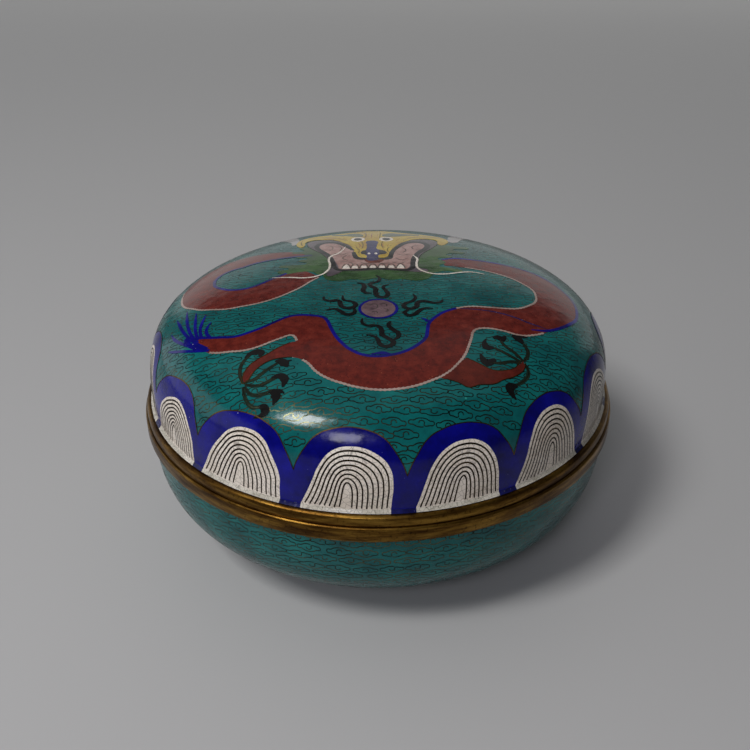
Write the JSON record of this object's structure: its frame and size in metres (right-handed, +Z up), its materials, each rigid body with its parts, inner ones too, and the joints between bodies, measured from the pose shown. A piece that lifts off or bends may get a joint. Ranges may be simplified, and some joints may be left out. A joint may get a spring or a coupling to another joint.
{
  "type": "cloisonne enamel box",
  "caption": "Round hollow box with a lift-off domed lid, brass rims and a foot ring, enamelled with a dragon, a pearl and arched lappets on a turquoise scroll ground.",
  "frame": {"origin": "middle of the foot ring's underside, on the box's axis", "axes": "+Z up along the axis of the turned shape, -Y towards the front, where the dragon's curled body and the pearl face, with the dragon's head towards +Y"},
  "size_m": [0.2496, 0.2496, 0.1306],
  "materials": {
    "bowl_enamel": "gloss",
    "bowl_rim_brass": "satin",
    "foot_brass": "satin",
    "lid_enamel": "gloss",
    "lid_rim_brass": "satin"
  },
  "bodies": {
    "root": {"bowl": "bowl_enamel", "bowl_rim": "bowl_rim_brass", "foot_ring": "foot_brass", "lid": "lid_enamel", "lid_rim": "lid_rim_brass"}
  },
  "joints": []
}
